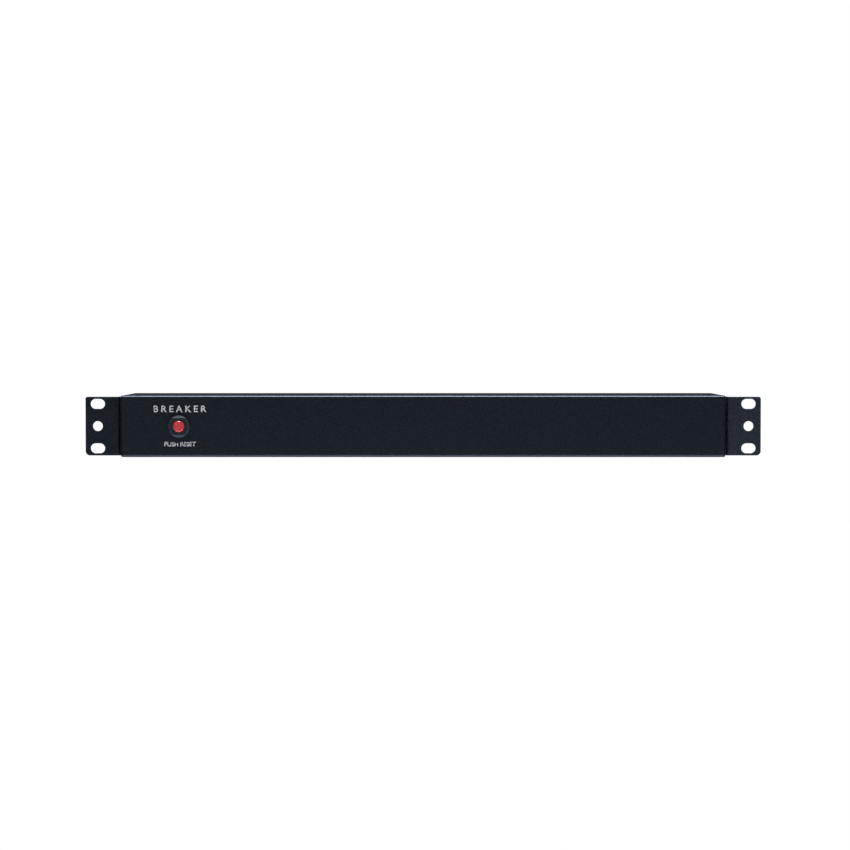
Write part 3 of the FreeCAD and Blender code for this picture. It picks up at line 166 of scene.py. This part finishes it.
def add_world():
    """White where the camera looks past the strip, and a dim light on it, brighter from below."""
    world = bpy.data.worlds.new("studio")
    bpy.context.scene.world = world
    world.use_nodes = True
    tree = world.node_tree
    tree.nodes.clear()
    output = tree.nodes.new("ShaderNodeOutputWorld")
    mix = tree.nodes.new("ShaderNodeMixShader")
    path = tree.nodes.new("ShaderNodeLightPath")
    ambient = tree.nodes.new("ShaderNodeBackground")
    ambient.inputs["Color"].default_value = (*GLOW_COLOUR, 1)
    direction = tree.nodes.new("ShaderNodeTexCoord").outputs["Generated"]
    parts = tree.nodes.new("ShaderNodeSeparateXYZ")
    glow = tree.nodes.new("ShaderNodeMapRange")
    glow.inputs["From Min"].default_value, glow.inputs["From Max"].default_value = GLOW_CHANGE
    glow.inputs["To Min"].default_value = GLOW_BELOW
    glow.inputs["To Max"].default_value = GLOW_ABOVE
    tree.links.new(direction, parts.inputs["Vector"])
    tree.links.new(parts.outputs["Z"], glow.inputs["Value"])
    tree.links.new(glow.outputs["Result"], ambient.inputs["Strength"])
    seen = tree.nodes.new("ShaderNodeBackground")
    seen.inputs["Color"].default_value = (1, 1, 1, 1)
    tree.links.new(path.outputs["Is Camera Ray"], mix.inputs["Fac"])
    tree.links.new(ambient.outputs["Background"], mix.inputs[1])
    tree.links.new(seen.outputs["Background"], mix.inputs[2])
    tree.links.new(mix.outputs["Shader"], output.inputs["Surface"])


def add_studio():
    """A light overhead, a wide one and a low one in front, and wide ones behind and at the sides."""
    bpy.context.scene.view_settings.view_transform = "Standard"
    add_world()
    add_floor()
    add_sun("overhead", place=(0, 0.03, 1), power=5.6, spread=34, colour=(0.97, 0.95, 1.0))
    add_softbox("front", place=(0.1, -3.6, 0.5), size=(3.4, 2.6), power=5.6, colour=(0.88, 0.94, 1.0))
    add_softbox(
        "low",
        place=(0, -0.38, -0.38),
        size=(1.1, 0.18),
        power=3.0,
        colour=(0.9, 0.95, 1.0),
        target=ORIGIN,
    )
    add_softbox("back", place=(0.7, 2.2, 2.8), size=(3.0, 1.4), power=6)
    for side, name in ((-1, "left"), (1, "right")):
        add_softbox(f"{name}_side", place=(side * 2.4, 1.4, 0.5), size=(1.6, 1.6), power=9)
        add_softbox(f"{name}_back", place=(side * 1.9, 2.0, -0.65), size=(1.4, 1.0), power=17)


# --- materials ---

BLUE_SHEEN = (0.58, 0.71, 1.0)
WHITE_SHEEN = (1, 1, 1)
NOISE_RANGE = (0.3, 0.7)  # most of a noise's values lie between these


class Surface:
    """A principled material and the procedural texture nodes that feed it, in metres."""

    def __init__(self, name, roughness, metallic=0.0, specular=0.5, tint=WHITE_SHEEN):
        self.material = bpy.data.materials.new(name)
        self.material.use_nodes = True
        self.tree = self.material.node_tree
        self.shader = self.tree.nodes["Principled BSDF"]
        self.place = self.tree.nodes.new("ShaderNodeTexCoord").outputs["Object"]
        self.bump = None
        self.set("Roughness", roughness)
        self.set("Metallic", metallic)
        self.set("Specular IOR Level", specular)
        self.set("Specular Tint", (*tint, 1))

    def set(self, socket, value):
        self.shader.inputs[socket].default_value = value

    def noise(self, size, detail=2, stretch=None):
        """A noise whose features are about size across, longer along an axis with a stretch."""
        texture = self.tree.nodes.new("ShaderNodeTexNoise")
        texture.inputs["Scale"].default_value = 1 / size
        texture.inputs["Detail"].default_value = detail
        place = self.place
        if stretch:
            scale = self.tree.nodes.new("ShaderNodeMapping")
            scale.inputs["Scale"].default_value = [1 / part for part in stretch]
            self.tree.links.new(place, scale.inputs["Vector"])
            place = scale.outputs["Vector"]
        self.tree.links.new(place, texture.inputs["Vector"])
        return texture.outputs["Fac"]

    def colour(self, factor, low, high, spread=(0.35, 0.65)):
        """Colours the surface from low to high, as a factor goes over the middle of its range."""
        ramp = self.tree.nodes.new("ShaderNodeValToRGB")
        first, last = ramp.color_ramp.elements
        first.position, last.position = spread
        first.color, last.color = (*low, 1), (*high, 1)
        self.tree.links.new(factor, ramp.inputs["Fac"])
        self.tree.links.new(ramp.outputs["Color"], self.shader.inputs["Base Color"])

    def vary(self, socket, factor, low, high):
        """Lets a factor move one of the shader's numbers between low and high."""
        span = self.tree.nodes.new("ShaderNodeMapRange")
        span.inputs["From Min"].default_value, span.inputs["From Max"].default_value = NOISE_RANGE
        span.inputs["To Min"].default_value = low
        span.inputs["To Max"].default_value = high
        self.tree.links.new(factor, span.inputs["Value"])
        self.tree.links.new(span.outputs["Result"], self.shader.inputs[socket])

    def raise_by(self, factor, height):
        """Adds a bump of that height in metres on top of those before it."""
        bump = self.tree.nodes.new("ShaderNodeBump")
        bump.inputs["Distance"].default_value = height
        self.tree.links.new(factor, bump.inputs["Height"])
        if self.bump is not None:
            self.tree.links.new(self.bump, bump.inputs["Normal"])
        self.bump = bump.outputs["Normal"]
        self.tree.links.new(self.bump, self.shader.inputs["Normal"])


def powder_coat(name, specular, pale):
    """Fine-grained charcoal powder coat on steel, with a soft orange peel and a blue sheen."""
    smoothest, usual, roughest = 0.30, 0.32, 0.34
    surface = Surface(name, usual, specular=specular, tint=BLUE_SHEEN)
    grain = surface.noise(size=0.9 * MM)
    mottle = surface.noise(size=2.2 * MM)
    cloud = surface.noise(size=60 * MM)
    dark = (0.0012, 0.0014, 0.0016)
    # pale lightens the coat's colour; the right ear's copy sets it above 1 to paint in the extra light that
    # falls on that ear
    light = [part * pale for part in (0.0142, 0.0160, 0.0196)]
    surface.colour(grain, dark, light, spread=(0.38, 0.62))
    surface.vary("Roughness", cloud, smoothest, roughest)
    surface.raise_by(mottle, height=0.015 * MM)
    surface.raise_by(grain, height=0.03 * MM)
    return surface.material


def moulded(name, low, high, roughness, grain_size=0.25, grain_height=0.004, tint=WHITE_SHEEN):
    """Spark-eroded moulded plastic. Its grain is in millimetres."""
    smoothest, roughest = roughness - 0.04, roughness + 0.05
    surface = Surface(name, roughness, specular=0.45, tint=tint)
    grain = surface.noise(size=grain_size * MM)
    flow = surface.noise(size=14 * MM)
    surface.colour(flow, low, high)
    surface.vary("Roughness", grain, smoothest, roughest)
    surface.raise_by(grain, height=grain_height * MM)
    return surface.material


def glossy(name, low, high, roughness=0.22):
    """Smooth moulded plastic with a clear skin."""
    surface = Surface(name, roughness, specular=0.5)
    flow = surface.noise(size=3 * MM)
    ripple = surface.noise(size=1.2 * MM, detail=1)
    surface.colour(flow, low, high)
    surface.raise_by(ripple, height=0.002 * MM)
    surface.set("Coat Weight", 0.35)
    surface.set("Coat Roughness", 0.12)
    return surface.material


def plated(name, low, high, roughness=0.34):
    """Plated or bare metal with fine drawing marks."""
    smoothest, roughest = roughness - 0.06, roughness + 0.08
    surface = Surface(name, roughness, metallic=1.0)
    marks = surface.noise(size=0.5 * MM, detail=3, stretch=(1, 1, 9))
    spots = surface.noise(size=1.8 * MM)
    surface.colour(spots, low, high)
    surface.vary("Roughness", marks, smoothest, roughest)
    surface.raise_by(marks, height=0.003 * MM)
    return surface.material


def ink(name, low, high):
    """Screen-printed ink."""
    surface = Surface(name, roughness=0.55, specular=0.3)
    surface.colour(surface.noise(size=0.4 * MM), low, high)
    return surface.material


def make_materials():
    """One material for each of the record's slots, a copy of the coat for the right ear that is painted
    paler and glossier as painted light for the brighter light on it, and the printed ink.
    """
    looks = {
        "powder_coat": (powder_coat, dict(specular=0.5, pale=1.0)),
        # the right ear's copy of the coat: paler and glossier, as painted light for the brighter light on
        # that ear
        "right_ear_painted_light_coat": (powder_coat, dict(specular=0.9, pale=1.6)),
        "screw_steel": (plated, dict(low=(0.045, 0.046, 0.050), high=(0.085, 0.086, 0.092), roughness=0.40)),
        "zinc_steel": (plated, dict(low=(0.55, 0.56, 0.58), high=(0.68, 0.69, 0.72))),
        "bus_brass": (plated, dict(low=(0.62, 0.42, 0.15), high=(0.74, 0.53, 0.22), roughness=0.32)),
        "contact_silver": (plated, dict(low=(0.72, 0.72, 0.71), high=(0.83, 0.83, 0.82), roughness=0.25)),
        "spring_steel": (plated, dict(low=(0.40, 0.40, 0.42), high=(0.52, 0.52, 0.55), roughness=0.28)),
        "outlet_plastic": (
            moulded,
            dict(low=(0.016, 0.016, 0.018), high=(0.023, 0.023, 0.026), roughness=0.36),
        ),
        "breaker_plastic": (
            moulded,
            dict(low=(0.010, 0.010, 0.011), high=(0.015, 0.015, 0.016), roughness=0.48),
        ),
        "nut_plastic": (
            moulded,
            dict(
                low=(0.024, 0.025, 0.033),
                high=(0.032, 0.033, 0.043),
                roughness=0.36,
                grain_size=0.4,
                grain_height=0.003,
                tint=BLUE_SHEEN,
            ),
        ),
        "red_plastic": (glossy, dict(low=(0.68, 0.050, 0.058), high=(0.76, 0.062, 0.070))),
        "gland_plastic": (
            moulded,
            dict(low=(0.015, 0.015, 0.016), high=(0.022, 0.022, 0.024), roughness=0.42, grain_size=0.3),
        ),
        "gland_rubber": (
            moulded,
            dict(
                low=(0.016, 0.016, 0.016),
                high=(0.026, 0.026, 0.026),
                roughness=0.72,
                grain_size=0.4,
                grain_height=0.01,
            ),
        ),
        "terminal_plastic": (glossy, dict(low=(0.03, 0.12, 0.42), high=(0.05, 0.17, 0.52), roughness=0.3)),
        "black_wire": (
            moulded,
            dict(low=(0.010, 0.010, 0.010), high=(0.016, 0.016, 0.016), roughness=0.38, grain_size=0.5),
        ),
        "green_wire": (
            moulded,
            dict(low=(0.012, 0.19, 0.045), high=(0.020, 0.26, 0.07), roughness=0.38, grain_size=0.5),
        ),
        "print_ink": (ink, dict(low=(0.54, 0.54, 0.53), high=(0.66, 0.66, 0.65))),
    }
    return {name: make(name, **values) for name, (make, values) in looks.items()}


# --- pieces ---

SAME_POINT = 0.001 * MM
FLAT_ANGLE = math.radians(0.5)
SHARP_ANGLE = math.radians(32)
EASING_STEPS = 3
MOST_WEIGHT = 100
OUTLET_EASING = 0.15
EASING = {  # how wide each node's eased edges are, in millimetres
    "front_housing": 0.25,
    "rear_panel": 0.25,
    "left_rack_ear": 0.3,
    "right_rack_ear": 0.3,
    "gland_body": 0.4,
    "gland_cap": 0.4,
    "breaker_nut": 0.12,
    "reset_button": 0.1,
    "breaker_case": 0.15,
    "top_cover_screws": 0.08,
    "bottom_cover_screws": 0.08,
    "left_ear_screws": 0.1,
    "right_ear_screws": 0.1,
}
COAT_OF_NODE = {"right_rack_ear": "right_ear_painted_light_coat"}  # nodes that don't wear their slot's material; the right ear wears a copy of the coat painted paler and glossier, as painted light for the brighter light that falls on it

INK_WEIGHT = 0.018  # how much the printed letters are thickened, as a share of their height
INK_DEPTH = 0.05 * MM
INK_ROOT = 0.02 * MM  # how far the print reaches into the face, so that no gap shows
LETTER_STEPS = 6
LEGEND_SHIFT = 0.8 * MM
LEGENDS = {  # how high each legend's middle is, how wide it is and how tall
    "BREAKER": (12.5 * MM, 37.7 * MM, 4.7 * MM),
    "PUSH RESET": (-12.6 * MM, 22.4 * MM, 3.3 * MM),
}


def add_piece(name, mesh, node, slot=None):
    """A piece that moves with a CAD node's body, in that node's slot's material or another's."""
    slot = slot or slot_of_node[node]
    piece = put_in_scene(name, mesh)
    mesh.materials.clear()
    mesh.materials.append(materials[slot])
    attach(piece, body_of_node[node])
    return piece


def eased(node, width):
    """The node's own shape with its sharp edges rounded off, as moulding or coating leaves them."""
    mesh = nodes[node].data.copy()
    shape = bmesh.new()
    shape.from_mesh(mesh)
    bmesh.ops.remove_doubles(shape, verts=shape.verts, dist=SAME_POINT)
    bmesh.ops.dissolve_limit(shape, angle_limit=FLAT_ANGLE, verts=shape.verts, edges=shape.edges)
    for face in shape.faces:
        face.smooth = True
    shape.to_mesh(mesh)
    shape.free()
    piece = add_piece(f"{node}_shown", mesh, node)
    # the right ear gets the copy of the coat that is painted lighter, as painted light
    if node in COAT_OF_NODE:
        mesh.materials[0] = materials[COAT_OF_NODE[node]]
    bevel = piece.modifiers.new("eased_edges", "BEVEL")
    bevel.width = width
    bevel.segments = EASING_STEPS
    bevel.limit_method = "ANGLE"
    bevel.angle_limit = SHARP_ANGLE
    flat_shading = piece.modifiers.new("flat_faces_shade_flat", "WEIGHTED_NORMAL")
    flat_shading.mode = "FACE_AREA"
    flat_shading.weight = MOST_WEIGHT
    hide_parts(node)


def ease_edges():
    outlets = [node for node in nodes if node.startswith("outlet_")]
    for node, width in {**EASING, **dict.fromkeys(outlets, OUTLET_EASING)}.items():
        eased(node, width * MM)


def cover_nodes():
    """Gives every CAD node its slot's material."""
    for node, thing in nodes.items():
        thing.data.materials.clear()
        thing.data.materials.append(materials[slot_of_node[node]])


def letters(words, width, height):
    """A flat mesh of the words in plain capitals, spaced out to about that width."""
    curve = bpy.data.curves.new(words, "FONT")
    curve.body = words
    curve.align_x = "CENTER"
    curve.offset = INK_WEIGHT
    curve.resolution_u = LETTER_STEPS
    text = put_in_scene(words, curve)
    bpy.context.view_layer.update()
    cap = text.dimensions.y
    natural = text.dimensions.x * height / cap
    gaps = len(words) - 1
    advance = (text.dimensions.x / len(words)) * height / cap
    curve.space_character = 1 + (width - natural) / gaps / advance
    bpy.context.view_layer.update()
    graph = bpy.context.evaluated_depsgraph_get()
    mesh = bpy.data.meshes.new_from_object(text.evaluated_get(graph))
    bpy.data.objects.remove(text)
    return mesh


def stand_on_face(mesh, rise, width, height):
    """Fits a flat mesh to that width and height, just in front of the face and near the breaker."""
    low = [min(vert.co[axis] for vert in mesh.vertices) for axis in range(2)]
    high = [max(vert.co[axis] for vert in mesh.vertices) for axis in range(2)]
    middle = Vector(((low[0] + high[0]) / 2, (low[1] + high[1]) / 2, 0))
    scale = Matrix.Diagonal((width / (high[0] - low[0]), height / (high[1] - low[1]), 1, 1))
    stand = Matrix.Rotation(math.radians(90), 4, "X")
    place = Matrix.Translation((breaker.x + LEGEND_SHIFT, face_y - INK_DEPTH, rise))
    mesh.transform(place @ stand @ scale @ Matrix.Translation(-middle))


def thicken(mesh):
    """Extrudes a flat mesh back into the face, so that the print is a closed solid."""
    shape = bmesh.new()
    shape.from_mesh(mesh)
    bmesh.ops.remove_doubles(shape, verts=shape.verts, dist=SAME_POINT)
    faces = bmesh.ops.extrude_face_region(shape, geom=shape.faces[:])["geom"]
    moved = [part for part in faces if isinstance(part, bmesh.types.BMVert)]
    bmesh.ops.translate(shape, verts=moved, vec=(0, INK_DEPTH + INK_ROOT, 0))
    bmesh.ops.recalc_face_normals(shape, faces=shape.faces)
    shape.to_mesh(mesh)
    shape.free()


def printed(words, rise, width, height):
    """Words printed on the face, over or under the breaker."""
    mesh = letters(words, width, height)
    stand_on_face(mesh, rise, width, height)
    thicken(mesh)
    name = "_".join(["legend", *words.lower().split()])
    add_piece(name, mesh, "front_housing", "print_ink")


materials = make_materials()
add_camera()
add_studio()
cover_nodes()
ease_edges()
for words, measures in LEGENDS.items():
    printed(words, *measures)
